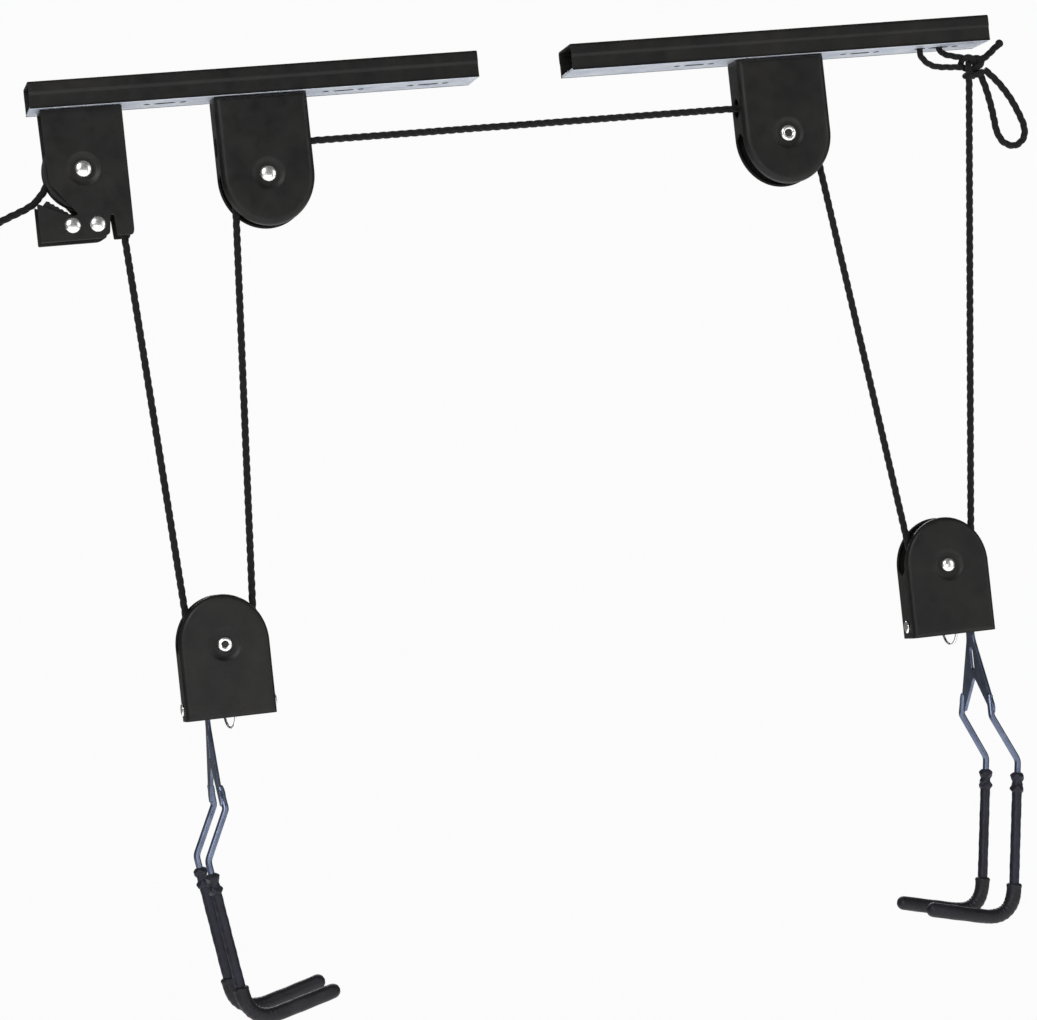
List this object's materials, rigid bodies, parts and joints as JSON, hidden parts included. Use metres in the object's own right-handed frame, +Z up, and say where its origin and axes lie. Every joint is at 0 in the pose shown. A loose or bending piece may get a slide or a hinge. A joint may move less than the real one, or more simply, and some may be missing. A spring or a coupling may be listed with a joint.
{
  "type": "ceiling hoist kit",
  "caption": "Ceiling-mounted rope hoist: two slotted rails with fixed pulley blocks and a rope lock, and travelling pulley blocks carrying double J hooks on one rope.",
  "frame": {"origin": "on the ceiling plane, midway between the two rails and on their middle plane", "axes": "+X along the rails from the rope lock towards the rope's tied end, +Z up into the ceiling, front shells face -Y"},
  "size_m": [0.7671, 0.0704, 0.6237],
  "materials": {
    "black_paint": "satin black powder coat",
    "zinc_plate": "bright zinc plate with a faint blue cast",
    "blue_zinc": "blue-passivated zinc plate on the hook frames",
    "bright_rivet": "bright nickel-plated rivet steel",
    "wheel_nylon": "moulded black nylon",
    "rope": "braided black polypropylene rope",
    "thin_sleeve": "thin vinyl sleeve, faintly blue black",
    "soft_grip": "soft vinyl grip"
  },
  "bodies": {
    "rails": {"left_rail": "black_paint", "right_rail": "black_paint", "left_slotted_strip": "zinc_plate", "right_slotted_strip": "zinc_plate", "lock_front_shell": "black_paint", "lock_rear_shell": "black_paint", "lock_axle": "bright_rivet", "lock_rivet_1": "bright_rivet", "lock_rivet_2": "bright_rivet", "lock_screw_1": "bright_rivet", "lock_screw_2": "bright_rivet", "left_block_front_shell": "black_paint", "left_block_rear_shell": "black_paint", "left_block_axle": "bright_rivet", "left_block_screw_1": "bright_rivet", "left_block_screw_2": "bright_rivet", "right_block_front_shell": "black_paint", "right_block_rear_shell": "black_paint", "right_block_axle": "bright_rivet", "right_block_screw_1": "bright_rivet", "right_block_screw_2": "bright_rivet", "lock_rope_wrap": "rope", "cross_rope": "rope", "lock_rope_run": "rope", "left_rope_run": "rope", "right_rope_run": "rope", "end_rope_run": "rope", "end_knot": "rope", "end_tie": "rope", "end_loop": "rope", "rope_tail": "rope", "tail_knot": "rope"},
    "lock_jaw": {"lock_jaw": "black_paint"},
    "lock_wheel": {"lock_wheel": "wheel_nylon"},
    "left_block_wheel": {"left_block_wheel": "wheel_nylon"},
    "right_block_wheel": {"right_block_wheel": "wheel_nylon"},
    "left_traveller": {"left_traveller_front_shell": "black_paint", "left_traveller_rear_shell": "black_paint", "left_traveller_axle": "bright_rivet", "left_traveller_hook_bar": "bright_rivet", "left_traveller_keeper_ring": "bright_rivet", "left_traveller_rope_wrap": "rope"},
    "left_traveller_wheel": {"left_traveller_wheel": "wheel_nylon"},
    "left_hook": {"left_hook_frame": "blue_zinc", "left_hook_front_sleeve": "thin_sleeve", "left_hook_front_grip": "soft_grip", "left_hook_rear_sleeve": "thin_sleeve", "left_hook_rear_grip": "soft_grip"},
    "right_traveller": {"right_traveller_front_shell": "black_paint", "right_traveller_rear_shell": "black_paint", "right_traveller_axle": "bright_rivet", "right_traveller_hook_bar": "bright_rivet", "right_traveller_keeper_ring": "bright_rivet", "right_traveller_rope_wrap": "rope"},
    "right_traveller_wheel": {"right_traveller_wheel": "wheel_nylon"},
    "right_hook": {"right_hook_frame": "blue_zinc", "right_hook_front_sleeve": "thin_sleeve", "right_hook_front_grip": "soft_grip", "right_hook_rear_sleeve": "thin_sleeve", "right_hook_rear_grip": "soft_grip"}
  },
  "joints": [
    {"name": "right_lift", "type": "slide", "parent": "rails", "child": "right_traveller", "axis": [0, 0, 1], "range_m": [0, 0.22], "deforming": ["right_rope_run", "end_rope_run"]},
    {"name": "left_lift", "type": "slide", "parent": "rails", "child": "left_traveller", "axis": [0, 0, 1], "range_m": [0, 0.22], "deforming": ["left_rope_run", "lock_rope_run"]},
    {"name": "lock_spin", "type": "hinge", "parent": "rails", "child": "lock_wheel", "pos_m": [-0.3016, 0, -0.0586], "axis": [0, 1, 0], "continuous": true},
    {"name": "left_block_spin", "type": "hinge", "parent": "rails", "child": "left_block_wheel", "pos_m": [-0.1805, 0, -0.071], "axis": [0, 1, 0], "continuous": true},
    {"name": "right_block_spin", "type": "hinge", "parent": "rails", "child": "right_block_wheel", "pos_m": [0.1805, 0, -0.071], "axis": [0, 1, 0], "continuous": true},
    {"name": "left_traveller_spin", "type": "hinge", "parent": "left_traveller", "child": "left_traveller_wheel", "pos_m": [-0.242, 0, -0.377], "axis": [0, 1, 0], "continuous": true},
    {"name": "right_traveller_spin", "type": "hinge", "parent": "right_traveller", "child": "right_traveller_wheel", "pos_m": [0.262, 0, -0.377], "axis": [0, 1, 0], "continuous": true},
    {"name": "left_hook_swing", "type": "hinge", "parent": "left_traveller", "child": "left_hook", "pos_m": [-0.257, 0, -0.417], "axis": [1, 0, 0], "range_deg": [-20, 20]},
    {"name": "right_hook_swing", "type": "hinge", "parent": "right_traveller", "child": "right_hook", "pos_m": [0.277, 0, -0.417], "axis": [1, 0, 0], "range_deg": [-20, 20]},
    {"name": "jaw_tip", "type": "hinge", "parent": "rails", "child": "lock_jaw", "pos_m": [-0.3122, 0, -0.095], "axis": [0, 1, 0], "range_deg": [0, 10]}
  ],
  "couplings": [
    {"joint": "left_lift", "follows": "right_lift", "ratio": 1},
    {"joint": "lock_spin", "follows": "right_lift", "rad_per_m": -190.48},
    {"joint": "left_block_spin", "follows": "right_lift", "rad_per_m": -95.238},
    {"joint": "right_block_spin", "follows": "right_lift", "rad_per_m": -95.238},
    {"joint": "left_traveller_spin", "follows": "right_lift", "rad_per_m": 142.86},
    {"joint": "right_traveller_spin", "follows": "right_lift", "rad_per_m": 47.619}
  ]
}
